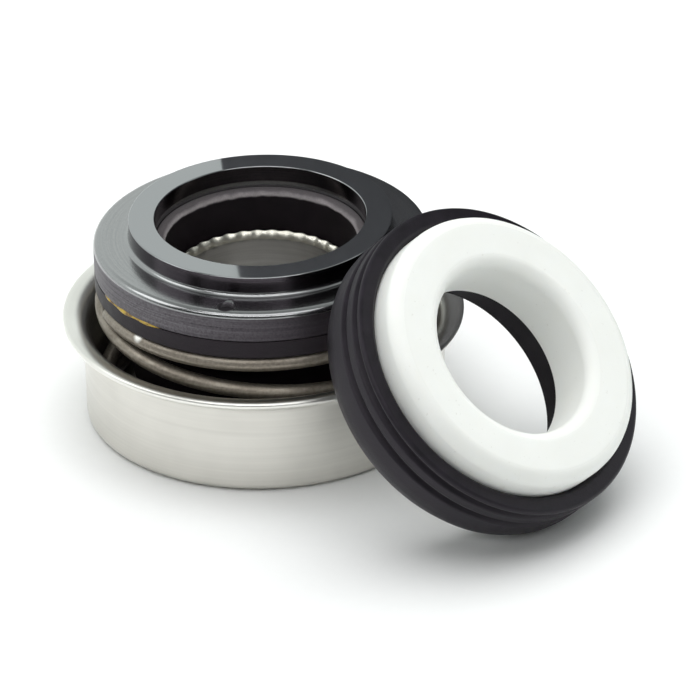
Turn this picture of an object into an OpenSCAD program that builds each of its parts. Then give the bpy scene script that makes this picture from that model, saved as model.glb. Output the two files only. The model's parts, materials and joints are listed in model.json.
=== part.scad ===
// Mechanical shaft seal for a pool pump, in its two halves: the spring loaded seal head stands on its
// base, and the stationary seat, a ceramic ring in a rubber boot, leans on the head's carbon ring.
// Units are millimetres. The origin lies on the head's axis, on the plane that both halves stand on.

/* [Inner sleeve] */
// Radius of the hole that the pump shaft runs through
sleeve_bore_r = 8.5; // [7:0.1:9.5]
// Wall of the sleeve
sleeve_wall = 0.5; // [0.3:0.05:0.8]
// Height of the sleeve's rim above the base
sleeve_h = 15.2; // [13:0.1:16.5]
// How far the rim is flared beyond the sleeve's wall
flare_w = 0.4; // [0.2:0.05:0.7]
// Height of the flare on its outer side
flare_h = 0.86; // [0.6:0.02:1.4]
// Number of scallops crimped into the rim
scallop_count = 36; // [16:1:48]
// Radius of one scallop
scallop_r = 0.5; // [0.25:0.05:0.6]
// Width of the foot flange that stands on the cup's floor
foot_w = 2.4; // [1.5:0.1:3.5]
// Thickness of the foot flange
foot_t = 0.6; // [0.3:0.05:1]

/* [Flanged cup] */
// Outer radius of the cup, which is pressed into the pump
cup_r = 18.25; // [17.5:0.05:20]
// Thickness of the pressed sheet
cup_wall = 0.75; // [0.5:0.05:1]
// Height of the cup with its lip
cup_h = 11.2; // [9:0.1:13]
// How far the lip stands out from the cup's wall
lip_w = 2.05; // [1.9:0.05:3.5]
// Inner bend where the wall turns out into the lip
lip_bend_r = 1.5; // [0.8:0.1:1.7]
// Inner radius of the drawn corner at the floor
cup_corner_r = 0.15; // [0.1:0.05:1.5]

/* [Carbon ring] */
// Height of the ring's back above the base when the spring is free
ring_seat_z = 16.3; // [15:0.1:18]
// Thickness of the ring's flange
ring_flange_t = 3.2; // [2:0.1:5]
// Height of the lapped nose above the flange
nose_h = 2.1; // [1:0.1:3.5]
// Width of the lapped sealing face
nose_w = 2.65; // [1.5:0.05:3]
// Chamfer of the flange's edges
ring_chamfer = 0.45; // [0.1:0.05:0.8]
// Fillet at the foot of the nose
nose_fillet = 0.5; // [0.2:0.05:1]
// Room between the flange and the cup that it sinks into
ring_clearance = 0.6; // [0.3:0.05:1]
// Radius of the moulded dimple in the flange
dimple_r = 0.8; // [0.4:0.05:1.1]
// Flat that is left between the dimple and the flange's chamfer
dimple_rim = 0.1; // [0.05:0.05:0.5]
// Depth of the dimple
dimple_depth = 0.4; // [0.1:0.05:1]
// Direction of the dimple, counted from +X
dimple_angle = 259; // [0:1:360]

/* [Bellows] */
// Thickness of the rubber pad behind the carbon ring
pad_t = 1.9; // [1:0.1:2.5]
// Thickness of the collar that lines the ring's bore
collar_t = 0.92; // [0.6:0.02:1.4]
// How far the collar reaches into the ring's bore
collar_h = 3; // [2:0.1:4]
// Rounding of the collar's mouth
collar_round = 0.7; // [0.2:0.05:0.9]
// Room between the collar and the sleeve's flared rim
collar_clearance = 0.3; // [0.2:0.05:0.6]
// Wall of the folded part
fold_wall = 1; // [0.6:0.1:1.4]
// Room between the fold and the spring
fold_clearance = 2; // [1:0.1:3]
// Height of the tail bead that grips the sleeve
tail_h = 2.2; // [1.5:0.1:3]

/* [Spring] */
// Wire diameter
wire_d = 1.6; // [1.2:0.1:2]
// Number of turns, the closed ends counted
spring_turns = 3; // [2.8:0.1:4]
// Share of a turn that lies flat at each end
flat_turn = 0.55; // [0.5:0.01:0.6]
// Share of a turn over which the pitch grows from flat to full
ramp_turn = 0.6; // [0.5:0.01:0.7]
// Direction of the wire's upper end, counted from +X
wire_end_angle = 200; // [0:1:360]
// Room between the coils and the cup's wall
spring_clearance = 0.5; // [0.3:0.05:0.9]

/* [Ceramic seat] */
// Outer radius of the ceramic ring
ceramic_r = 14.5; // [13:0.1:16]
// Radius of its bore
ceramic_bore_r = 8.85; // [8:0.05:10]
// Thickness of the ring
ceramic_t = 6.5; // [6:0.1:8]
// How far it stands out of the boot
ceramic_proud = 2.95; // [2:0.05:3.2]
// Rounding of the outer edge of its face
face_round = 1.5; // [0.5:0.1:2]
// Rounding of the edge between face and bore
bore_round = 1.4; // [0.3:0.1:2]
// Chamfer of the two edges at the back
back_chamfer = 0.45; // [0.2:0.05:0.8]

/* [Seat boot] */
// Wall of the boot round the ceramic ring
boot_wall = 2; // [1.5:0.1:3]
// Thickness of the boot behind the ceramic ring
boot_back_t = 4.8; // [4.4:0.1:6]
// Radius of the hole in the boot's back
boot_bore_r = 11.2; // [10:0.1:11.8]
// Rounding of the boot's tail, which leads it into its seat
boot_tail_round = 3.65; // [2:0.05:3.8]
// Rounding of the lip's outer edge
boot_lip_round = 0.4; // [0.2:0.05:0.5]
// Chamfer of the pocket's mouth round the ceramic ring
boot_mouth_chamfer = 0.5; // [0.2:0.05:0.8]
// Number of grooves that leave the sealing ribs standing
groove_count = 2; // [1:1:2]
// Distance from the lip's face to the middle of the first groove
groove_first = 1; // [0.9:0.05:1.2]
// Distance from groove to groove
groove_pitch = 1.9; // [1.4:0.05:2.1]
// Width of a groove
groove_w = 0.9; // [0.5:0.05:1]
// Depth of a groove
groove_depth = 0.5; // [0.2:0.05:0.8]

/* [Lean of the seat] */
// Angle between the seat's axis and the upright
seat_tilt = 45.6; // [38:0.1:52]
// Direction in which the seat's face looks, counted from +X
seat_azimuth = -36.6; // [-180:0.1:180]
// How far the seat lies to the side of the head's axis
seat_side = -2; // [-4:0.1:4]

/* [Fits] */
// Clearance between pieces that sit in each other
fit_gap = 0.02; // [0.01:0.01:0.05]
// Gap between pieces that only touch
touch_gap = 0.05; // [0.02:0.01:0.1]

/* [Hidden] */
$fn = 96;
overcut = 1;
arc_steps = 8;
rim_steps = 4;
wire_sides = 12;
steps_per_turn = 44;

cup_inner_r = cup_r - cup_wall;
lip_r = cup_r + lip_w;
lip_bend_z = cup_h - cup_wall - lip_bend_r;
cup_corner_out_r = cup_corner_r + cup_wall;

sleeve_r = sleeve_bore_r + sleeve_wall;
flare_r = sleeve_r + flare_w;
foot_top_z = cup_wall + foot_t;

// The rim turns out over an arc that starts upright on the sleeve's wall and ends at flare_w and flare_h
flare_angle = 2 * atan(flare_w / flare_h);
flare_bend_r = flare_h / sin(flare_angle);
flare_z = sleeve_h - (flare_bend_r + sleeve_wall) * sin(flare_angle);

collar_r = flare_r + collar_clearance;
ring_bore_r = collar_r + collar_t + fit_gap;
nose_r = ring_bore_r + nose_w;
ring_r = cup_inner_r - ring_clearance;
ring_top_z = ring_seat_z + ring_flange_t;
nose_top_z = ring_top_z + nose_h;
dimple_pos_r = ring_r - ring_chamfer - dimple_rim - dimple_r;

pad_z = ring_seat_z - pad_t;
coil_r = cup_inner_r - spring_clearance - wire_d / 2;
coil_low_z = cup_wall + touch_gap + wire_d / 2;
coil_top_z = pad_z - touch_gap - wire_d / 2;
fold_r = coil_r - wire_d / 2 - fold_clearance;
tail_top_z = foot_top_z + tail_h;

// Pitch that brings the free turns from the upper flat coil down to the lower one
spring_pitch = (coil_top_z - coil_low_z) / (spring_turns - 2 * flat_turn - ramp_turn);

boot_r = ceramic_r + fit_gap + boot_wall;
pocket_z = boot_back_t;
boot_h = boot_back_t + ceramic_t - ceramic_proud;

// The seat stands on the rounded edge of its boot, and the boot's back lies on the chamfered edge of
// the carbon ring: both give the place of the centre of the boot's back.
seat_z = boot_tail_round + (boot_r - boot_tail_round) * sin(seat_tilt) - boot_tail_round * cos(seat_tilt);
lean_reach = touch_gap + max(
    (ring_r - ring_chamfer) * sin(seat_tilt) + ring_top_z * cos(seat_tilt),
    ring_r * sin(seat_tilt) + (ring_top_z - ring_chamfer) * cos(seat_tilt));
seat_x = (lean_reach - seat_z * cos(seat_tilt)) / sin(seat_tilt);

// Points on an arc from angle a0 to angle a1
function arc(centre, r, a0, a1, steps = arc_steps) =
    [for (i = [0 : steps]) centre + r * [cos(a0 + (a1 - a0) * i / steps),
                                         sin(a0 + (a1 - a0) * i / steps)]];

// Drop of the wire below its upper end after t turns: flat, then a growing pitch, then a steady one
function half_drop(t) =
    t < flat_turn ? 0 :
    t < flat_turn + ramp_turn ? spring_pitch * (t - flat_turn) * (t - flat_turn) / (2 * ramp_turn) :
    spring_pitch * (t - flat_turn - ramp_turn / 2);

// The lower half of the spring mirrors the upper half
function wire_z(t) =
    t < spring_turns / 2 ? coil_top_z - half_drop(t) : coil_low_z + half_drop(spring_turns - t);

function wire_ring(t) =
    [for (k = [0 : wire_sides - 1])
        let (turn = wire_end_angle + 360 * t, side = 360 * k / wire_sides,
             r = coil_r + wire_d / 2 * cos(side))
        [r * cos(turn), r * sin(turn), wire_z(t) + wire_d / 2 * sin(side)]];

// Pressed sheet cup: drawn corner, straight wall, and a lip that turns out over a bend
module flanged_cup() {
    color([0.78, 0.78, 0.76])
    rotate_extrude()
    polygon(concat(
        [[sleeve_r + fit_gap, 0]],
        arc([cup_r - cup_corner_out_r, cup_corner_out_r], cup_corner_out_r, -90, 0),
        arc([cup_r + lip_bend_r, lip_bend_z], lip_bend_r, 180, 90),
        arc([lip_r - cup_wall / 2, cup_h - cup_wall / 2], cup_wall / 2, -90, 90),
        arc([cup_r + lip_bend_r, lip_bend_z], lip_bend_r + cup_wall, 90, 180),
        arc([cup_r - cup_corner_out_r, cup_corner_out_r], cup_corner_r, 0, -90),
        [[sleeve_r + fit_gap, cup_wall]]));
}

// Thin sleeve round the shaft: it stands through the cup's floor on a foot flange, and its rim is turned out
// like a bell's mouth and crimped into scallops
module inner_sleeve() {
    bend_centre = [sleeve_r + flare_bend_r, flare_z];
    color([0.72, 0.72, 0.66])
    difference() {
        rotate_extrude()
        polygon(concat(
            [[sleeve_bore_r, 0], [sleeve_r, 0], [sleeve_r, cup_wall], [sleeve_r + foot_w, cup_wall],
             [sleeve_r + foot_w, foot_top_z], [sleeve_r, foot_top_z]],
            arc(bend_centre, flare_bend_r, 180, 180 - flare_angle, rim_steps),
            arc(bend_centre, flare_bend_r + sleeve_wall, 180 - flare_angle, 180, rim_steps)));
        for (i = [0 : scallop_count - 1])
            rotate([0, 0, 360 * i / scallop_count])
            translate([flare_r + scallop_r / 2, 0, flare_z])
            cylinder(h = sleeve_h - flare_z + overcut, r = scallop_r, $fn = 24);
    }
}

// Rubber bellows: a tail bead on the sleeve's foot, one outward fold, the pad behind the carbon ring and
// the collar that lines the ring's bore
module rubber_bellows() {
    tail_r = sleeve_r + fit_gap;
    fold_z = (tail_top_z + pad_z) / 2;
    fold_half = (pad_z - tail_top_z) / 2;
    crest_r = fold_half - fold_wall;
    crest_out = min(crest_r, fold_r - fold_wall - collar_r) / 2;
    mouth_r = min(collar_round, collar_t - fit_gap);
    collar_z = ring_seat_z + collar_h;
    color([0.13, 0.11, 0.13])
    rotate_extrude()
    polygon(concat(
        [[tail_r, foot_top_z], [sleeve_r + foot_w, foot_top_z], [sleeve_r + foot_w, tail_top_z]],
        arc([fold_r - crest_out - fold_wall, fold_z - fold_half + crest_out + fold_wall],
            crest_out + fold_wall, -90, 0),
        arc([fold_r - crest_out - fold_wall, fold_z + fold_half - crest_out - fold_wall],
            crest_out + fold_wall, 0, 90),
        [[ring_r, pad_z], [ring_r, ring_seat_z], [ring_bore_r - fit_gap, ring_seat_z],
         [ring_bore_r - fit_gap, collar_z]],
        arc([collar_r + mouth_r, collar_z - mouth_r], mouth_r, 90, 180),
        [[collar_r, pad_z - fold_wall]],
        arc([fold_r - crest_out - fold_wall, fold_z + fold_half - crest_out - fold_wall],
            crest_out, 90, 0),
        arc([fold_r - crest_out - fold_wall, fold_z - fold_half + crest_out + fold_wall],
            crest_out, 0, -90),
        [[tail_r, tail_top_z + fold_wall]]));
}

// Round wire wound left-handed, with its end coils closed against the next turn
module coil_spring() {
    last = round(spring_turns * steps_per_turn);
    rings = [for (i = [0 : last]) wire_ring(spring_turns * i / last)];
    sides = [for (i = [0 : last - 1], k = [0 : wire_sides - 1])
        let (next = (k + 1) % wire_sides)
        [i * wire_sides + k, (i + 1) * wire_sides + k, (i + 1) * wire_sides + next, i * wire_sides + next]];
    upper_end = [for (k = [0 : wire_sides - 1]) k];
    lower_end = [for (k = [wire_sides - 1 : -1 : 0]) last * wire_sides + k];
    color([0.45, 0.42, 0.38])
    polyhedron(points = [for (ring = rings, point = ring) point], faces = concat(sides, [upper_end, lower_end]));
}

// Carbon ring: flange with chamfered edges, and the raised nose whose flat top is the lapped sealing face
module carbon_ring() {
    nose_chamfer = ring_chamfer / 3;
    color([0.38, 0.37, 0.38])
    difference() {
        rotate_extrude()
        polygon(concat(
            [[ring_bore_r, ring_seat_z], [ring_r - ring_chamfer / 2, ring_seat_z],
             [ring_r, ring_seat_z + ring_chamfer / 2], [ring_r, ring_top_z - ring_chamfer],
             [ring_r - ring_chamfer, ring_top_z]],
            arc([nose_r + nose_fillet, ring_top_z + nose_fillet], nose_fillet, -90, -180),
            [[nose_r, nose_top_z - nose_chamfer], [nose_r - nose_chamfer, nose_top_z],
             [ring_bore_r + nose_chamfer, nose_top_z], [ring_bore_r, nose_top_z - nose_chamfer]]));
        rotate([0, 0, dimple_angle])
        translate([dimple_pos_r, 0, ring_top_z - dimple_depth])
        cylinder(h = dimple_depth + overcut, r = dimple_r, $fn = 32);
    }
}

// Puts a piece of the seat, drawn with the boot's back at the origin, where the seat leans
module leaning() {
    rotate([0, 0, seat_azimuth])
    translate([seat_x, seat_side, seat_z])
    rotate([0, seat_tilt, 0])
    children();
}

// Ceramic ring with a softly rounded face edge
module ceramic_seat() {
    face_z = pocket_z + ceramic_t;
    color([0.96, 0.97, 0.95])
    leaning()
    rotate_extrude()
    polygon(concat(
        [[ceramic_bore_r + back_chamfer, pocket_z], [ceramic_r - back_chamfer, pocket_z],
         [ceramic_r, pocket_z + back_chamfer]],
        arc([ceramic_r - face_round, face_z - face_round], face_round, 0, 90),
        arc([ceramic_bore_r + bore_round, face_z - bore_round], bore_round, 90, 180),
        [[ceramic_bore_r, pocket_z + back_chamfer]]));
}

// Rubber boot: a pocket for the ceramic ring, a thick rounded tail with its hole, and grooves round its side
// that leave sealing ribs
module seat_boot() {
    pocket_r = ceramic_r + fit_gap;
    color([0.16, 0.15, 0.18])
    leaning()
    difference() {
        rotate_extrude()
        polygon(concat(
            [[boot_bore_r, 0]],
            arc([boot_r - boot_tail_round, boot_tail_round], boot_tail_round, -90, 0),
            arc([boot_r - boot_lip_round, boot_h - boot_lip_round], boot_lip_round, 0, 90),
            [[pocket_r + boot_mouth_chamfer, boot_h], [pocket_r, boot_h - boot_mouth_chamfer],
             [pocket_r, pocket_z], [boot_bore_r, pocket_z]]));
        for (i = [0 : groove_count - 1])
            rotate_extrude()
            translate([boot_r - groove_depth, boot_h - groove_first - i * groove_pitch])
            polygon([[0, -groove_w / 6], [groove_depth, -groove_w / 2], [groove_depth + overcut, -groove_w / 2],
                     [groove_depth + overcut, groove_w / 2], [groove_depth, groove_w / 2], [0, groove_w / 6]]);
    }
}

flanged_cup();
inner_sleeve();
rubber_bellows();
coil_spring();
carbon_ring();
ceramic_seat();
seat_boot();
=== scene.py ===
# %% [markdown]
# # A pool pump seal in its two halves
#
# The seal head is a pressed steel cup that holds a coil spring, a rubber bellows and a carbon ring. The
# other half is a white ceramic ring in a black rubber boot, and it leans on the head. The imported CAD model
# already has every piece at its real size, so this lesson only gives the pieces their final surfaces:
# smooth turned shapes, softened edges, and finishes that behave like steel, carbon, rubber and ceramic.

# %% Load the frame
import json
import math

import bmesh
import bpy
from mathutils import Matrix, Vector


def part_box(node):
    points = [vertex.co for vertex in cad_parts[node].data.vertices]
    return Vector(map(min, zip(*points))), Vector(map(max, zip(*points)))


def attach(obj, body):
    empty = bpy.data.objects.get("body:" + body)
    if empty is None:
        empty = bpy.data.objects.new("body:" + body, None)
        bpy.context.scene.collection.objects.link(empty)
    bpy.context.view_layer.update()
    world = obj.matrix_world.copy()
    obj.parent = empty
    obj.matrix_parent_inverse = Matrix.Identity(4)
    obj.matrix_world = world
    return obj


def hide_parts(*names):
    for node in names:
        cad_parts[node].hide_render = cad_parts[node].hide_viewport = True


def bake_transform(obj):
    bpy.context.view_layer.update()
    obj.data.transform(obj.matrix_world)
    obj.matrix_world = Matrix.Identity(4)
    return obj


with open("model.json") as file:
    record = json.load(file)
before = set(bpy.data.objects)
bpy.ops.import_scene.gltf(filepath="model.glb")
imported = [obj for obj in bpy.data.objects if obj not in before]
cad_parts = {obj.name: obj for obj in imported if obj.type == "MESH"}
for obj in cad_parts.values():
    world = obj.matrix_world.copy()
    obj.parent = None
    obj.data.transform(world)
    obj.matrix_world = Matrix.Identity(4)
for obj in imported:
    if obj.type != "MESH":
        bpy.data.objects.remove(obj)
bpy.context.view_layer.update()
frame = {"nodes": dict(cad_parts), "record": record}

MM = 0.001
mounts = {mount["name"]: mount for mount in frame["record"]["mounts"]}
print("CAD nodes:", ", ".join(sorted(frame["nodes"])))

# %% [markdown]
# ## Sizes
#
# The pieces are measured in millimetres, and the floor and the lights in metres. The main sizes are read
# from the frame, so the pieces follow the CAD model if it changes. The small ones, such as roundings, are
# given one by one.

# %% Main sizes of the seal head
def reach(node):
    """How far a head node reaches from the axis, and its lowest and highest point."""
    low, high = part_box(node)
    return high.x / MM, low.z / MM, high.z / MM


cup_r = mounts["cup_press"]["dims"]["r_mm"]
sleeve_bore_r = mounts["shaft_bore"]["dims"]["r_mm"]
lip_r, _, cup_h = reach("flanged_cup")
foot_r, _, sleeve_h = reach("inner_sleeve")
ring_r, ring_seat_z, nose_top_z = reach("carbon_ring")
_, tail_z, collar_top_z = reach("rubber_bellows")
_, spring_low_z, spring_high_z = reach("coil_spring")

sheet_t = 0.75
sleeve_wall = 0.5
sleeve_r = sleeve_bore_r + sleeve_wall
fit_gap = 0.02
ring_bore_r = 10.64
nose_w = 2.65
nose_h = 2.1
nose_r = ring_bore_r + nose_w
ring_top_z = nose_top_z - nose_h
print(f"cup {2 * cup_r:.1f} mm wide, lip {2 * lip_r:.1f} mm, carbon ring {2 * ring_r:.1f} mm")

# %% Main sizes of the seat
seat_axis = Vector(mounts["seat_bore"]["axis"])
ceramic_bore_r = mounts["seat_bore"]["dims"]["r_mm"]
boot_r = mounts["boot_press"]["dims"]["r_mm"]

boot_back_t = 4.8
boot_h = 8.35
boot_tail_round = 3.65
ceramic_r = 14.5
ceramic_t = 6.5

# The boot's press wall starts where its rounded tail ends, and its mount lies in the middle of that wall.
wall_middle = boot_tail_round + mounts["boot_press"]["dims"]["length_mm"] / 2
seat_place = Vector(mounts["boot_press"]["pos_m"]) - seat_axis * wall_middle * MM
seat_turn = seat_axis.to_track_quat("Z", "Y")
lean = Matrix.Translation(seat_place) @ seat_turn.to_matrix().to_4x4()
print(f"the seat leans {math.degrees(seat_axis.angle(Vector((0, 0, 1)))):.1f} degrees from upright")

# %% [markdown]
# ## Turned pieces
#
# Nearly every piece of a shaft seal is made on a lathe or in a round mould. In Blender such a piece could
# be a cylinder with many inset faces, or a curve with a Screw modifier. Here the half section is drawn as
# a loop of a few corner points. A vertex bevel rounds each corner, and a full spin turns the loop into a
# ring. The section stays readable, and the roundings are real geometry that catches the light.

# %% A helper that turns a section into a ring
ROUND_STEPS = 6
TURN_STEPS = 192
CRISP_ANGLE = 40


def finished(name, bm, *materials, smooth_angle=CRISP_ANGLE):
    """Closes a bmesh into a mesh object with smooth faces and crisp corners."""
    mesh = bpy.data.meshes.new(name)
    bm.to_mesh(mesh)
    bm.free()
    for material in materials:
        mesh.materials.append(material)
    mesh.shade_smooth()
    mesh.set_sharp_from_angle(angle=math.radians(smooth_angle))
    piece = bpy.data.objects.new(name, mesh)
    bpy.context.scene.collection.objects.link(piece)
    even = piece.modifiers.new("Even shading", "WEIGHTED_NORMAL")
    even.keep_sharp = True
    even.weight = 80
    print(f"{name}: {len(mesh.polygons)} faces")
    return piece


def turned(section, steps=TURN_STEPS):
    """Spins a closed section round Z. A corner is (radius, height, rounding), all in millimetres."""
    bm = bmesh.new()
    corners = [bm.verts.new((r * MM, 0, z * MM)) for r, z, _ in section]
    for a, b in zip(corners, corners[1:] + corners[:1]):
        bm.edges.new((a, b))
    for corner, (_, _, rounding) in zip(corners, section):
        if rounding:
            bmesh.ops.bevel(bm, geom=[corner], offset=rounding * MM, offset_type="OFFSET",
                            segments=ROUND_STEPS, profile=0.5, affect="VERTICES", material=-1)
    bmesh.ops.spin(bm, geom=bm.verts[:] + bm.edges[:], cent=(0, 0, 0), axis=(0, 0, 1),
                   angle=2 * math.pi, steps=steps, use_merge=True)
    bmesh.ops.remove_doubles(bm, verts=bm.verts, dist=0.0001 * MM)
    bmesh.ops.recalc_face_normals(bm, faces=bm.faces)
    return bm


# %% [markdown]
# ## Finishes
#
# A finish is a small network of nodes round one Principled shader. Patterns could be painted in UV space,
# but a turned piece has a simpler guide: the distance from its axis, the angle round it and the height
# along it. Those three come from Object coordinates, so marks left by a lathe or a press run round the
# piece by themselves. The angle enters through its sine and cosine, so that no pattern has a seam.

# %% Helpers for the finishes
def add(tree, kind, inputs, **settings):
    """Adds a node. An input is a number, a colour or the output of another node."""
    node = tree.nodes.new(kind)
    for key, value in settings.items():
        setattr(node, key, value)
    for key, value in inputs.items():
        if isinstance(value, bpy.types.NodeSocket):
            tree.links.new(value, node.inputs[key])
        else:
            node.inputs[key].default_value = value
    return node


def calc(tree, operation, a, b=0.0):
    return add(tree, "ShaderNodeMath", {0: a, 1: b}, operation=operation).outputs[0]


def blank_finish(name, place=None, turn=None):
    """A new material, its shader, and the piece's own coordinates in millimetres."""
    material = bpy.data.materials.new(name)
    material.use_nodes = True
    tree = material.node_tree
    shader = tree.nodes["Principled BSDF"]
    coordinates = add(tree, "ShaderNodeTexCoord", {})
    own = add(tree, "ShaderNodeMapping", {"Vector": coordinates.outputs["Object"],
                                          "Location": place or (0, 0, 0),
                                          "Rotation": turn.to_euler() if turn else (0, 0, 0),
                                          "Scale": (MM, MM, MM)}, vector_type="TEXTURE")
    return material, tree, shader, own.outputs[0]


def around(tree, own):
    """Distance from the axis, angle round it and height, from a piece's own coordinates."""
    axes = add(tree, "ShaderNodeSeparateXYZ", {"Vector": own})
    flat = add(tree, "ShaderNodeCombineXYZ", {"X": axes.outputs["X"], "Y": axes.outputs["Y"]})
    radius = add(tree, "ShaderNodeVectorMath", {0: flat.outputs[0]}, operation="LENGTH").outputs["Value"]
    angle = calc(tree, "ARCTAN2", axes.outputs["Y"], axes.outputs["X"])
    return radius, angle, axes.outputs["Z"]


def noise(tree, vector, scale, detail=3.0, roughness=0.55):
    return add(tree, "ShaderNodeTexNoise", {"Vector": vector, "Scale": scale, "Detail": detail,
                                            "Roughness": roughness}).outputs["Fac"]


def span(tree, value, low, high, to_low, to_high):
    """Maps a value from one range to another, and stops at the ends."""
    return add(tree, "ShaderNodeMapRange", {"Value": value, "From Min": low, "From Max": high,
                                            "To Min": to_low, "To Max": to_high}).outputs[0]


def tint(tree, factor, first, second):
    """Mixes two colours. Each is three numbers or the output of another node."""
    first, second = (colour if isinstance(colour, bpy.types.NodeSocket) else (*colour, 1)
                     for colour in (first, second))
    return add(tree, "ShaderNodeMix", {0: factor, 6: first, 7: second}, data_type="RGBA").outputs[2]


def between(tree, factor, first, second):
    """Mixes two values. Each is a number or the output of another node."""
    return add(tree, "ShaderNodeMix", {0: factor, 2: first, 3: second}, data_type="FLOAT").outputs[0]


def wrapped(tree, radius, angle, height, round_scale, across_scale):
    """Coordinates in which a noise is drawn out into lines round the axis, without a seam."""
    return add(tree, "ShaderNodeCombineXYZ", {
        "X": calc(tree, "MULTIPLY", calc(tree, "COSINE", angle), round_scale),
        "Y": calc(tree, "MULTIPLY", calc(tree, "SINE", angle), round_scale),
        "Z": calc(tree, "MULTIPLY", calc(tree, "ADD", radius, height), across_scale)}).outputs[0]


def distance(tree, own, point):
    """How far a place on the piece lies from a point, in millimetres."""
    return add(tree, "ShaderNodeVectorMath", {0: own, 1: point}, operation="DISTANCE").outputs["Value"]


def relief(tree, shader, height, depth_mm):
    """Bumps the surface by a height of 0 to 1 that stands for this depth."""
    bump = add(tree, "ShaderNodeBump", {"Height": height, "Distance": depth_mm * MM, "Strength": 1.0})
    tree.links.new(bump.outputs[0], shader.inputs["Normal"])


# %% [markdown]
# ### Pressed steel
#
# The cup is drawn from sheet and tumbled, so it is satin rather than mirror bright. Fine lines run round
# it from the press tool. Noise that is stretched round the axis gives those lines, and a second, slow noise
# gives the cloudy patches that handling leaves. The turned rims carry a painted highlight: they are painted
# brighter than the walls below them, and the height on the piece tells them apart. The inner sleeve has the
# same finish with duller walls.

# %% Steel finishes
RIM_BAND = 0.9
RIM_FADE = 0.12


def pressed_steel(name, top_z, highlit_rim_tones, wall_tones, smoothest, roughest):
    material, tree, shader, own = blank_finish(name)
    radius, angle, height = around(tree, own)
    lines = noise(tree, wrapped(tree, radius, angle, height, 0.7, 2.2), 1.0, detail=2.0)
    clouds = noise(tree, own, 0.16, detail=2.0)
    polish = span(tree, between(tree, 0.55, lines, clouds), 0.3, 0.7, 0, 1)
    # painted highlight: the band at the top of each piece is painted brighter than the wall below it
    painted_rim_highlight = span(tree, height, top_z - RIM_BAND, top_z - RIM_BAND + RIM_FADE, 0, 1)
    colour = tint(tree, painted_rim_highlight, tint(tree, polish, *wall_tones), tint(tree, polish, *highlit_rim_tones))
    tree.links.new(colour, shader.inputs["Base Color"])
    tree.links.new(span(tree, polish, 0, 1, roughest, smoothest), shader.inputs["Roughness"])
    shader.inputs["Metallic"].default_value = 1.0
    return material


# the first pair of tones is the painted rim highlight, the second the wall
cup_steel = pressed_steel(
    "cup_steel", cup_h, highlit_rim_tones=((0.80, 0.79, 0.75), (0.90, 0.89, 0.85)),
    wall_tones=((0.62, 0.605, 0.565), (0.72, 0.705, 0.66)), smoothest=0.29, roughest=0.34)
sleeve_steel = pressed_steel(
    "sleeve_steel", sleeve_h, highlit_rim_tones=((0.80, 0.78, 0.69), (0.92, 0.90, 0.80)),
    wall_tones=((0.42, 0.41, 0.395), (0.60, 0.59, 0.57)), smoothest=0.30, roughest=0.44)

# %% [markdown]
# ### Spring wire
#
# Hard drawn wire has a dull, slightly tanned skin of oxide, with scratches along its length. The scratches
# follow the coil, so the noise is stretched by the angle again, and a fine speckle breaks it up. One small
# spot on the upper coil carries a painted glint: it is the space within a short distance of a point.

# %% Wire finish
# where the painted glint sits on the upper coil
glint_angle = math.radians(224)
glint_from_axis = 16.75
glint_z = 14.15
painted_glint = Matrix.Rotation(glint_angle, 3, "Z") @ Vector((glint_from_axis, 0, glint_z))


def drawn_wire():
    material, tree, shader, own = blank_finish("spring_wire")
    radius, angle, height = around(tree, own)
    along = wrapped(tree, radius, angle, height, 2.5, 4.0)
    scratches = noise(tree, along, 1.0, detail=5.0, roughness=0.65)
    speckle = noise(tree, own, 3.2, detail=3.0)
    skin = between(tree, 0.4, scratches, speckle)
    oxide = tint(tree, span(tree, skin, 0.32, 0.68, 0, 1), (0.155, 0.13, 0.105), (0.36, 0.325, 0.275))
    # painted glint: a small spot of the wire painted near white
    glint_mask = span(tree, distance(tree, own, painted_glint), 0.25, 0.65, 1, 0)
    tree.links.new(tint(tree, glint_mask, oxide, (0.88, 0.87, 0.83)), shader.inputs["Base Color"])
    tree.links.new(span(tree, scratches, 0.3, 0.7, 0.52, 0.36), shader.inputs["Roughness"])
    shader.inputs["Metallic"].default_value = 0.75
    relief(tree, shader, skin, 0.01)
    return material


spring_wire = drawn_wire()

# %% [markdown]
# ### Carbon
#
# The ring is pressed from carbon graphite. Graphite reflects almost like a dark metal, so a high metallic
# value with a dark colour is closer to it than black paint. Its flange keeps a fine turned grain, and its
# side is dull, with a painted sheen that lightens the stretch facing the left. Its nose is lapped flat and
# shines like dark glass. The height on the piece tells these zones apart, and the distance from a point
# keeps the dimple dull.

# %% Places on the carbon ring
edge_round = 0.65
dimple_angle = math.radians(259)
dimple_r = 0.8
dimple_margin = 0.55
dimple_from_axis = ring_r - dimple_margin - dimple_r
dimple_place = Matrix.Rotation(dimple_angle, 3, "Z") @ Vector((dimple_from_axis, 0, ring_top_z))
# the side is painted lighter towards this angle: a painted sheen
sheen_angle = math.radians(195)


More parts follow.
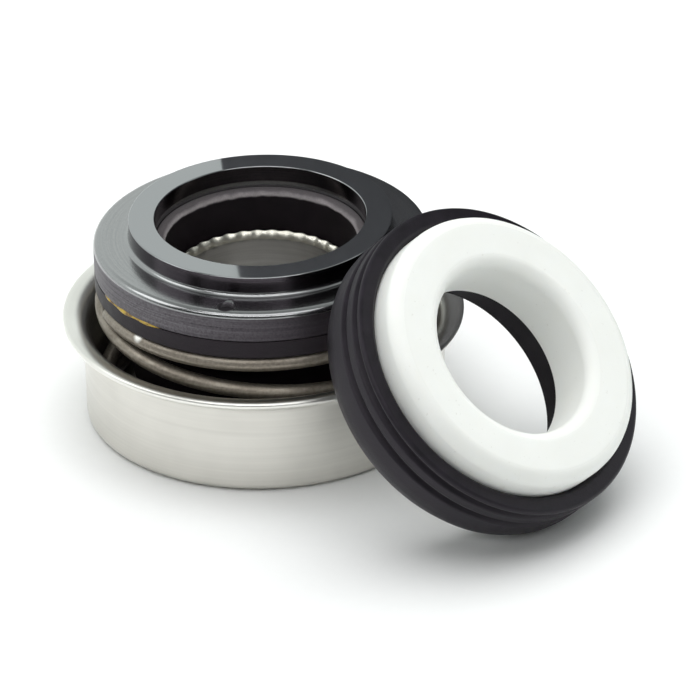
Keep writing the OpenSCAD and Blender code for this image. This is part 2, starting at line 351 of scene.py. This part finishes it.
# %% Carbon finish
def graphite():
    material, tree, shader, own = blank_finish("carbon")
    radius, angle, height = around(tree, own)
    side_top_z = ring_top_z - edge_round
    on_side = span(tree, height, side_top_z, side_top_z + 0.1, 1, 0)
    in_dimple = span(tree, distance(tree, own, dimple_place), dimple_r + 0.1, dimple_r + 0.2, 1, 0)
    dull = calc(tree, "MAXIMUM", on_side, in_dimple)
    lapped = span(tree, height, nose_top_z - 0.1, nose_top_z - 0.05, 0, 1)
    not_lapped = calc(tree, "SUBTRACT", 1.0, lapped)
    above_flange = span(tree, height, ring_top_z + 0.35, ring_top_z + 0.5, 0, 1)
    nose_wall = calc(tree, "MULTIPLY", above_flange, not_lapped)
    grain = noise(tree, own, 4.5, detail=4.0, roughness=0.7)
    turning = noise(tree, wrapped(tree, radius, angle, height, 1.5, 7.0), 1.0, detail=3.0)
    tone = between(tree, 0.5, grain, turning)
    depth = span(tree, tone, 0.3, 0.7, 0, 1)
    # painted sheen: the dark side colour is lifted towards one angle
    from_sheen = calc(tree, "COSINE", calc(tree, "SUBTRACT", angle, sheen_angle))
    painted_sheen = calc(tree, "MULTIPLY", depth, span(tree, from_sheen, -0.1, 0.9, 0.12, 1))

    top = tint(tree, depth, (0.30, 0.305, 0.31), (0.38, 0.385, 0.39))
    side = tint(tree, painted_sheen, (0.042, 0.035, 0.042), (0.22, 0.21, 0.225))
    wall = tint(tree, depth, (0.05, 0.042, 0.05), (0.09, 0.08, 0.09))
    machined = tint(tree, nose_wall, tint(tree, dull, top, side), wall)
    tree.links.new(tint(tree, lapped, machined, (0.345, 0.355, 0.365)), shader.inputs["Base Color"])
    rough = between(tree, dull, span(tree, tone, 0.3, 0.7, 0.22, 0.13), 0.48)
    tree.links.new(between(tree, lapped, rough, 0.06), shader.inputs["Roughness"])
    shader.inputs["Metallic"].default_value = 1.0
    relief(tree, shader, calc(tree, "MULTIPLY", tone, not_lapped), 0.008)
    return material


carbon = graphite()

# %% [markdown]
# ### Moulded rubber
#
# Both rubber pieces are black nitrile, which is never quite black: it carries a grey bloom. The ribs and
# rims furthest from the axis carry a painted highlight, so the grooves between them read as painted shade.
# Bloom is a slow noise in the colour, the skin of the mould is a fine noise in the bump, and the painted
# highlight is found by the distance from the axis. A pale painted highlight lies on the mouth of the
# bellows, high up inside the ring, so a height decides where it starts.

# %% Rubber finishes
NO_PAINTED_HIGHLIGHT = 1000.0


def moulded_rubber(name, dark, bloom_and_highlight_tone, rough, highlight_r, place=None, turn=None, highlight_above=NO_PAINTED_HIGHLIGHT):
    material, tree, shader, own = blank_finish(name, place, turn)
    radius, _, height = around(tree, own)
    clouds = noise(tree, own, 0.55, detail=4.0, roughness=0.6)
    skin = noise(tree, own, 7.0, detail=3.0)
    # painted highlight: the rubber furthest from the axis is painted paler, so the grooves read as painted
    # shade
    painted_edge_highlight = calc(tree, "MULTIPLY", span(tree, radius, highlight_r - 0.12, highlight_r, 0, 0.55), skin)
    bloom_and_highlight = calc(tree, "ADD", span(tree, clouds, 0.35, 0.75, 0, 0.8), painted_edge_highlight)
    # painted highlight on the bellows' mouth, from a height upwards, with a wavering edge
    drift = calc(tree, "MULTIPLY", calc(tree, "SUBTRACT", noise(tree, own, 0.9, detail=1.0), 0.5), 0.3)
    highlight_height = calc(tree, "ADD", height, drift)
    highlight_starts = span(tree, highlight_height, highlight_above, highlight_above + 0.2, 0, 1)
    highlight_thins = span(tree, highlight_height, highlight_above + 0.25, highlight_above + 0.62, 1, 0.2)
    painted_mouth_highlight = calc(tree, "MULTIPLY", highlight_starts, highlight_thins)
    # the two pale colours below are the painted highlight on the bellows' mouth
    colour = tint(tree, painted_mouth_highlight, tint(tree, bloom_and_highlight, dark, bloom_and_highlight_tone),
                  tint(tree, skin, (0.22, 0.20, 0.205), (0.55, 0.51, 0.52)))
    tree.links.new(colour, shader.inputs["Base Color"])
    tree.links.new(span(tree, clouds, 0.3, 0.7, rough - 0.06, rough + 0.08), shader.inputs["Roughness"])
    shader.inputs["Specular IOR Level"].default_value = 0.32
    shader.inputs["Specular Tint"].default_value = (0.97, 0.9, 1.0, 1)
    relief(tree, shader, skin, 0.02)
    return material


# how far below the collar top the painted highlight on the mouth begins
highlight_band = 0.75
bellows_rubber = moulded_rubber(
    "bellows_rubber", dark=(0.0045, 0.0027, 0.004), bloom_and_highlight_tone=(0.012, 0.008, 0.0105), rough=0.5,
    highlight_r=ring_r, highlight_above=collar_top_z - highlight_band)
boot_rubber = moulded_rubber(
    "boot_rubber", dark=(0.0045, 0.0037, 0.0055), bloom_and_highlight_tone=(0.0145, 0.0118, 0.017), rough=0.44,
    highlight_r=boot_r, place=seat_place, turn=seat_turn)

# %% [markdown]
# ### White ceramic
#
# The seat ring is alumina, fired white and lapped on its face. Light goes a little way into it, which
# softens every shadow on it, so the shader gets a short subsurface radius. The face is smoother than the
# sides, which keep the dry skin of the kiln.

# %% Ceramic finish
face_z = boot_back_t + ceramic_t


def fired_alumina():
    material, tree, shader, own = blank_finish("white_ceramic", seat_place, seat_turn)
    _, _, height = around(tree, own)
    on_face = span(tree, height, face_z - 0.3, face_z - 0.02, 0, 1)
    clouds = noise(tree, own, 0.22, detail=2.0)
    grain = noise(tree, own, 9.0, detail=2.0)
    specks = span(tree, noise(tree, own, 2.6, detail=1.0), 0.73, 0.78, 0, 0.25)
    white = tint(tree, clouds, (0.86, 0.87, 0.835), (0.91, 0.925, 0.90))
    tree.links.new(tint(tree, specks, white, (0.55, 0.53, 0.48)), shader.inputs["Base Color"])
    kiln_skin = span(tree, grain, 0.3, 0.7, 0.42, 0.54)
    tree.links.new(between(tree, on_face, kiln_skin, 0.26), shader.inputs["Roughness"])
    shader.inputs["Subsurface Weight"].default_value = 0.2
    shader.inputs["Subsurface Radius"].default_value = (1.0, 0.95, 0.85)
    shader.inputs["Subsurface Scale"].default_value = 0.6 * MM
    relief(tree, shader, calc(tree, "MULTIPLY", grain, calc(tree, "SUBTRACT", 1.0, on_face)), 0.008)
    return material


white_ceramic = fired_alumina()
print("finishes:", ", ".join(sorted(material.name for material in bpy.data.materials)))

# %% [markdown]
# ## Flanged cup
#
# The cup is one piece of sheet: a floor with a hole, a drawn corner, a straight wall that is pressed into
# the pump, and a lip that turns out over a soft bend. Its section is the sheet seen edge on. The bend and
# the drawn corner are vertex bevels, and on each the far side is rounder by the thickness of the sheet.

# %% Flanged cup
lip_bend = 1.5
drawn_corner = 0.15
sheet_edge = 0.36
hole_edge = 0.1
inner_r = cup_r - sheet_t
hole_r = sleeve_r + fit_gap

flanged_cup = finished("pressed_cup", turned([
    (hole_r, 0, hole_edge),
    (cup_r, 0, drawn_corner + sheet_t),
    (cup_r, cup_h - sheet_t, lip_bend),
    (lip_r, cup_h - sheet_t, sheet_edge),
    (lip_r, cup_h, sheet_edge),
    (inner_r, cup_h, lip_bend + sheet_t),
    (inner_r, sheet_t, drawn_corner),
    (hole_r, sheet_t, hole_edge),
]), cup_steel)
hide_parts("flanged_cup")
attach(flanged_cup, "housing")

# %% [markdown]
# ## Inner sleeve
#
# A thin tube lines the shaft hole and holds the bellows down with a foot flange. Its upper rim turns out like
# a bell's mouth and is crimped into small scallops, which show as a bright beaded line deep in the bore. The
# tube is turned like the cup. The scallops are then pressed into the rim with a wave that fades out below it.
# A bevel can't use up the whole edge beside it, so the two bends of the mouth stop a little short.

# %% Inner sleeve
SCALLOPS = 36
STEPS_PER_SCALLOP = 8
flare_w = 0.4
flare_h = 0.86
flare_angle = 2 * math.atan(flare_w / flare_h)
flare_bend_r = flare_h / math.sin(flare_angle)
flare_z = sleeve_h - (flare_bend_r + sleeve_wall) * math.sin(flare_angle)
flare_r = sleeve_r + flare_w
mouth_r = sleeve_bore_r + (flare_bend_r + sleeve_wall) * (1 - math.cos(flare_angle))
outer_bend = flare_bend_r * math.tan(flare_angle / 2)
inner_bend = (flare_bend_r + sleeve_wall) * math.tan(flare_angle / 2)
tube_edge = 0.1
foot_edge = 0.15
mouth_edge = 0.12
foot_top_z = tail_z
scallop_depth = 0.25

sleeve_mesh = turned([
    (sleeve_bore_r, 0, tube_edge),
    (sleeve_r, 0, tube_edge),
    (sleeve_r, sheet_t, 0),
    (foot_r, sheet_t, foot_edge),
    (foot_r, foot_top_z, foot_edge),
    (sleeve_r, foot_top_z, 0),
    (sleeve_r, flare_z + outer_bend, 0.98 * outer_bend),
    (flare_r, flare_z + flare_h, mouth_edge),
    (mouth_r, sleeve_h, mouth_edge),
    (sleeve_bore_r, flare_z + inner_bend, 0.9 * inner_bend),
], steps=SCALLOPS * STEPS_PER_SCALLOP)
for vert in sleeve_mesh.verts:
    up_the_flare = (vert.co.z / MM - flare_z) / (sleeve_h - flare_z)
    if up_the_flare > 0:
        wave = 0.5 + 0.5 * math.cos(SCALLOPS * math.atan2(vert.co.y, vert.co.x))
        vert.co.xy *= 1 - scallop_depth * min(up_the_flare, 1) * wave / flare_r
bmesh.ops.recalc_face_normals(sleeve_mesh, faces=sleeve_mesh.faces)

inner_sleeve = finished("crimped_sleeve", sleeve_mesh, sleeve_steel)
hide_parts("inner_sleeve")
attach(inner_sleeve, "housing")

# %% [markdown]
# ## Rubber bellows
#
# The bellows seals the sliding ring to the sleeve. From the bottom it has a bead that grips the sleeve, one
# outward fold, a flat pad behind the carbon ring and a collar that lines the ring's bore. When the ring
# sinks, the bead stays and the pad follows the ring. Here the bellows is one mesh that belongs to neither
# body.

# %% Rubber bellows
fold_r = 13.4
fold_wall = 1.0
pad_t = 1.9
pad_z = ring_seat_z - pad_t
collar_t = 0.92
collar_outer_r = ring_bore_r - fit_gap
collar_r = collar_outer_r - collar_t
collar_round = 0.7
bead_h = 2.2
bead_top_z = foot_top_z + bead_h
fold_slit = 0.2
fold_round = 2.3
fold_rise = 0.4

rubber_bellows = finished("moulded_bellows", turned([
    (sleeve_r + fit_gap, foot_top_z, 0.1),
    (foot_r, foot_top_z, 0.2),
    (foot_r, bead_top_z, 0.25),
    (fold_r, bead_top_z + fold_rise, 1.4),
    (fold_r, pad_z - fold_slit, fold_round),
    (collar_outer_r, pad_z - fold_slit, 0),
    (collar_outer_r, pad_z, 0),
    (ring_r, pad_z, 0.25),
    (ring_r, ring_seat_z, 0.12),
    (collar_outer_r, ring_seat_z, 0),
    (collar_outer_r, collar_top_z, 0.1),
    (collar_r, collar_top_z, collar_round),
    (collar_r, pad_z - fold_wall, 0.3),
    (fold_r - fold_wall, pad_z - fold_wall, fold_round - fold_wall),
    (fold_r - fold_wall, bead_top_z + fold_wall + fold_rise, 0.6),
    (sleeve_r + fit_gap, bead_top_z + fold_wall, 0.2),
]), bellows_rubber)
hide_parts("rubber_bellows")
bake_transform(rubber_bellows)

# %% [markdown]
# ## Coil spring
#
# The spring is wound left-handed, with closed ends that lie flat. A curve with a bevel could make it, but
# its twist is hard to control. Instead a circle of wire is spun one small step at a time, and each step has
# its own drop: none on the flat ends, a growing one on the ramps and a steady one between. When the carbon
# ring sinks, the lower end stays on the sleeve's foot and the upper end follows the ring. Here the spring is
# one mesh that belongs to neither body.

# %% Coil spring
WIRE_SIDES = 20
STEPS_PER_TURN = 72
spring_turns = 3
flat_turn = 0.55
ramp_turn = 0.6
upper_end_angle = math.radians(200)
wire_r = 0.8
coil_r = 16.2
coil_low_z = spring_low_z + wire_r
coil_top_z = spring_high_z - wire_r
free_pitch = (coil_top_z - coil_low_z) / (spring_turns - 2 * flat_turn - ramp_turn)
wire_end_edge = 0.15


def half_drop(turns):
    """How far the wire has dropped this many turns from an end."""
    if turns < flat_turn:
        return 0
    if turns < flat_turn + ramp_turn:
        return free_pitch * (turns - flat_turn) ** 2 / (2 * ramp_turn)
    return free_pitch * (turns - flat_turn - ramp_turn / 2)


def wire_height(turns):
    if turns < spring_turns / 2:
        return coil_top_z - half_drop(turns)
    return coil_low_z + half_drop(spring_turns - turns)


wire = bmesh.new()
across = Matrix.Rotation(upper_end_angle, 4, "Z") @ Matrix.Translation(
    (coil_r * MM, 0, coil_top_z * MM)) @ Matrix.Rotation(math.pi / 2, 4, "X")
first_ring = bmesh.ops.create_circle(wire, cap_ends=False, segments=WIRE_SIDES, radius=wire_r * MM,
                                     matrix=across)["verts"]
ring = first_ring + list({edge for vert in first_ring for edge in vert.link_edges})
upper_ring = [item for item in ring if isinstance(item, bmesh.types.BMEdge)]
for step in range(spring_turns * STEPS_PER_TURN):
    drop = wire_height((step + 1) / STEPS_PER_TURN) - wire_height(step / STEPS_PER_TURN)
    ring = bmesh.ops.spin(wire, geom=ring, cent=(0, 0, 0), axis=(0, 0, 1), dvec=(0, 0, drop * MM),
                          angle=2 * math.pi / STEPS_PER_TURN, steps=1)["geom_last"]
lower_ring = [item for item in ring if isinstance(item, bmesh.types.BMEdge)]
bmesh.ops.edgenet_fill(wire, edges=upper_ring)
bmesh.ops.edgenet_fill(wire, edges=lower_ring)
bmesh.ops.recalc_face_normals(wire, faces=wire.faces)
bmesh.ops.bevel(wire, geom=upper_ring + lower_ring, offset=wire_end_edge * MM, offset_type="OFFSET",
                segments=2, profile=0.5, affect="EDGES", material=-1)

coil_spring = finished("wound_spring", wire, spring_wire, smooth_angle=60)
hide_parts("coil_spring")
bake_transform(coil_spring)

# %% [markdown]
# ## Carbon ring
#
# The ring has a flange, which the spring pushes on through the rubber pad, and a narrow raised nose, whose
# flat top is the sealing face. The small moulded dimple in the flange isn't round the axis, so it can't be
# part of the section: a short cylinder is cut out of the turned ring with a Boolean modifier.

# %% Carbon ring
nose_fillet = 0.5
nose_edge = 0.12
bore_edge = 0.1
seat_edge = 0.2

carbon_ring = finished("lapped_carbon_ring", turned([
    (ring_bore_r, ring_seat_z, bore_edge),
    (ring_r, ring_seat_z, seat_edge),
    (ring_r, ring_top_z, edge_round),
    (nose_r, ring_top_z, nose_fillet),
    (nose_r, nose_top_z, nose_edge),
    (ring_bore_r, nose_top_z, nose_edge),
]), carbon)

# %% Dimple in the carbon ring
dimple_depth = 0.4
dimple_draft = 0.1

dimple = bmesh.new()
bmesh.ops.create_cone(dimple, cap_ends=True, segments=32, radius1=(dimple_r - dimple_draft) * MM,
                      radius2=(dimple_r + dimple_draft) * MM, depth=2 * dimple_depth * MM,
                      matrix=Matrix.Translation(dimple_place * MM))
cutter = finished("dimple_cutter", dimple)
cut = carbon_ring.modifiers.new("Dimple", "BOOLEAN")
cut.object = cutter
cut.solver = "EXACT"
carbon_ring.modifiers.move(1, 0)
bpy.context.view_layer.update()
depsgraph = bpy.context.evaluated_depsgraph_get()
cut_mesh = bpy.data.meshes.new_from_object(carbon_ring.evaluated_get(depsgraph))
carbon_ring.modifiers.remove(cut)
carbon_ring.data = cut_mesh
bpy.data.objects.remove(cutter)
cut_mesh.set_sharp_from_angle(angle=math.radians(CRISP_ANGLE))
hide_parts("carbon_ring")
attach(carbon_ring, "face_ring")
print(f"carbon ring with its dimple: {len(cut_mesh.polygons)} faces")

# %% [markdown]
# ## Trace of adhesive
#
# The carbon ring is cemented to its rubber pad, and on one side a little amber cement has been squeezed out
# of the joint. It could be painted into the carbon's finish, but a bead with a body catches the light. A
# small circle is spun a short way round the axis, and its rings shrink towards both ends until they close.

# %% Adhesive finish
def cured_cement():
    material, tree, shader, own = blank_finish("amber_cement")
    drops = noise(tree, own, 1.6, detail=3.0)
    amber = tint(tree, span(tree, drops, 0.35, 0.65, 0, 1), (0.16, 0.085, 0.02), (0.62, 0.42, 0.05))
    tree.links.new(amber, shader.inputs["Base Color"])
    tree.links.new(span(tree, drops, 0.3, 0.7, 0.4, 0.22), shader.inputs["Roughness"])
    relief(tree, shader, drops, 0.05)
    return material


# %% Trace of adhesive
CEMENT_STEPS = 40
cement_start = math.radians(203)
cement_turn = math.radians(32)
cement_r = 0.24
cement_sunk = 0.06
cement_swell = 0.28
cement_waves = 17
cement_at = Vector((ring_r - cement_sunk, 0, ring_seat_z)) * MM

cement_mesh = bmesh.new()
across_bead = Matrix.Rotation(cement_start, 4, "Z") @ Matrix.Translation(cement_at) @ Matrix.Rotation(
    math.pi / 2, 4, "X")
bmesh.ops.create_circle(cement_mesh, cap_ends=False, segments=12, radius=cement_r * MM, matrix=across_bead)
bmesh.ops.spin(cement_mesh, geom=cement_mesh.verts[:] + cement_mesh.edges[:], cent=(0, 0, 0), axis=(0, 0, 1),
               angle=cement_turn, steps=CEMENT_STEPS)
for vert in cement_mesh.verts:
    turned_by = (math.atan2(vert.co.y, vert.co.x) - cement_start) % (2 * math.pi)
    if turned_by > math.pi:
        turned_by = 0
    share = min(turned_by / cement_turn, 1)
    bead_middle = Matrix.Rotation(cement_start + share * cement_turn, 4, "Z") @ cement_at
    swell = 1 + cement_swell * (math.sin(cement_waves * share) - 1)
    fullness = math.sqrt(max(math.sin(math.pi * share), 0)) * swell
    vert.co = bead_middle + (vert.co - bead_middle) * fullness
bmesh.ops.remove_doubles(cement_mesh, verts=cement_mesh.verts, dist=0.0005 * MM)
bmesh.ops.recalc_face_normals(cement_mesh, faces=cement_mesh.faces)
cement = finished("adhesive_trace", cement_mesh, cured_cement(), smooth_angle=80)
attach(cement, "face_ring")

# %% [markdown]
# ## Ceramic seat
#
# The white ring is the part that stands still in the pump. Its section has two large roundings on the face,
# one outside and one at the bore, and small ones at the back. It is turned upright, and then the whole mesh
# is moved to where the seat leans, so the object itself stays at the origin.

# %% Ceramic seat
face_round = 1.5
bore_round = 1.4
back_round = 0.45

ceramic_mesh = turned([
    (ceramic_bore_r, boot_back_t, back_round),
    (ceramic_r, boot_back_t, back_round),
    (ceramic_r, face_z, face_round),
    (ceramic_bore_r, face_z, bore_round),
])
bmesh.ops.transform(ceramic_mesh, matrix=lean, verts=ceramic_mesh.verts)
ceramic_seat = finished("ceramic_ring", ceramic_mesh, white_ceramic)
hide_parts("ceramic_seat")
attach(ceramic_seat, "housing")

# %% [markdown]
# ## Seat boot
#
# The boot grips the ceramic ring and is pushed into the pump with its rounded tail first. Two grooves leave
# three soft sealing ribs round its side. Grooves could be cut with a Boolean, but they run right round, so
# they are simply part of the section, with their edges rounded as a rubber mould rounds them.

# %% Seat boot
boot_bore_r = 11.2
pocket_r = ceramic_r + fit_gap
groove_depth = 0.5
groove_half = 0.45
groove_floor_half = 0.15
groove_heights = (boot_h - 2.9, boot_h - 1.0)
groove_lip_round = 0.14
groove_floor_round = 0.1
boot_lip_round = 0.4
mouth_chamfer = 0.5

boot_section = [(boot_bore_r, 0, 0.3), (boot_r, 0, boot_tail_round)]
for groove_z in groove_heights:
    boot_section += [
        (boot_r, groove_z - groove_half, groove_lip_round),
        (boot_r - groove_depth, groove_z - groove_floor_half, groove_floor_round),
        (boot_r - groove_depth, groove_z + groove_floor_half, groove_floor_round),
        (boot_r, groove_z + groove_half, groove_lip_round),
    ]
boot_section += [
    (boot_r, boot_h, boot_lip_round),
    (pocket_r + mouth_chamfer, boot_h, 0.12),
    (pocket_r, boot_h - mouth_chamfer, 0.1),
    (pocket_r, boot_back_t, 0),
    (boot_bore_r, boot_back_t, 0.1),
]
boot_mesh = turned(boot_section)
bmesh.ops.transform(boot_mesh, matrix=lean, verts=boot_mesh.verts)
seat_boot = finished("ribbed_boot", boot_mesh, boot_rubber)
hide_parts("seat_boot")
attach(seat_boot, "housing")

# %% [markdown]
# ## Floor and light
#
# The seal stands on a pale sheet, as in a small product studio. A large softbox overhead lights the sheet
# and the matt pieces. It is kept out of reflections, so the shiny carbon stays dark seen from above. A strip
# in front and two panels draw the bright lines along rims and edges, and the panels light nothing else. The
# world is white behind, and dim in front and overhead. One dark card stands close behind the head, out of
# the picture: photographers use such a card, or flag, to draw dark reflections into shiny black pieces.

# %% Floor
floor_mesh = bmesh.new()
bmesh.ops.create_grid(floor_mesh, x_segments=1, y_segments=1, size=3.0)
floor_finish, floor_tree, floor_shader, floor_own = blank_finish("pale_paper")
fibres = noise(floor_tree, floor_own, 0.9, detail=4.0)
floor_tree.links.new(tint(floor_tree, fibres, (0.915, 0.92, 0.92), (0.935, 0.94, 0.94)),
                     floor_shader.inputs["Base Color"])
floor_shader.inputs["Roughness"].default_value = 0.6
floor_shader.inputs["Specular IOR Level"].default_value = 0.3
floor = finished("floor", floor_mesh, floor_finish)

# %% Dark card behind the head
card_corners = [Vector(corner) * MM for corner in (
    (-9.4, 37.3, 0), (48.5, -3.6, 0), (48.5, -3.6, 49), (-3.8, 33.3, 49))]

card_mesh = bmesh.new()
card_mesh.faces.new([card_mesh.verts.new(corner) for corner in card_corners])
card_finish, card_tree, card_shader, card_own = blank_finish("dark_card")
card_fibres = noise(card_tree, card_own, 0.4)
card_tree.links.new(tint(card_tree, card_fibres, (0.09, 0.09, 0.10), (0.13, 0.13, 0.145)),
                    card_shader.inputs["Base Color"])
card_shader.inputs["Roughness"].default_value = 0.5
card = finished("dark_card", card_mesh, card_finish)
card.visible_camera = False
card.visible_shadow = False
card.visible_diffuse = False

# %% Lights
def soft_light(name, place, aim, width, height, power):
    light = bpy.data.lights.new(name, "AREA")
    light.shape = "RECTANGLE"
    light.size = width
    light.size_y = height
    light.energy = power
    lamp = bpy.data.objects.new(name, light)
    lamp.location = place
    lamp.rotation_euler = (Vector(aim) - Vector(place)).to_track_quat("-Z", "Y").to_euler()
    bpy.context.scene.collection.objects.link(lamp)
    return lamp


between_halves = Vector((0.006, -0.006, 0.012))
overhead = soft_light("overhead_softbox", (0.0, 0.03, 0.55), between_halves, 0.7, 0.7, 3.4)
overhead.visible_glossy = False
soft_light("front_strip", (-0.12, -0.56, 0.46), between_halves, 0.9, 0.08, 0.9)
front_panel = soft_light("front_panel", (0.0, -0.28, 0.52), between_halves, 0.6, 0.3, 1.0)
front_panel.visible_diffuse = False
side_panel = soft_light("side_panel", (-0.5, -0.06, 0.42), between_halves, 0.4, 0.3, 0.65)
side_panel.visible_diffuse = False
print("a softbox, a strip and two panels")

# %% World
studio = bpy.data.worlds.new("studio")
studio.use_nodes = True
surround = studio.node_tree.nodes["Background"]
surround.inputs["Color"].default_value = (0.95, 1.0, 0.975, 1)
direction = add(studio.node_tree, "ShaderNodeTexCoord", {}).outputs["Generated"]
toward = add(studio.node_tree, "ShaderNodeSeparateXYZ", {"Vector": direction})
ceiling = span(studio.node_tree, toward.outputs["Z"], 0.55, 0.87, 1.0, 0.45)
sweep = span(studio.node_tree, toward.outputs["Y"], -0.5, 0.1, 0.1, 1.0)
studio.node_tree.links.new(calc(studio.node_tree, "MULTIPLY", ceiling, sweep), surround.inputs["Strength"])
bpy.context.scene.world = studio
bpy.context.scene.view_settings.view_transform = "Standard"
print("a surround that is white behind and dim in front and overhead")

# %% [markdown]
# ## Camera
#
# The camera stands where the photographer stood, about 73 cm away and looking down at 29 degrees, with a
# slight roll. A long lens from there keeps the rings' ellipses true, and it frames the two halves closely.

# %% Camera
eye = Vector((30.66, -646.78, 364.27)) * MM
aim = Vector((8.9, -7.2, 10.0)) * MM
roll = math.radians(-1.53)

camera_data = bpy.data.cameras.new("camera")
camera_data.sensor_width = 36
camera_data.lens = 375
camera_data.clip_start = 0.01
camera_data.clip_end = 20
camera = bpy.data.objects.new("camera", camera_data)
look = (aim - eye).to_track_quat("-Z", "Y").to_matrix().to_4x4()
camera.matrix_world = Matrix.Translation(eye) @ look @ Matrix.Rotation(roll, 4, "Z")
bpy.context.scene.collection.objects.link(camera)
bpy.context.scene.camera = camera
print(f"camera {(aim - eye).length * 1000:.0f} mm away, lens {camera_data.lens:.0f} mm")
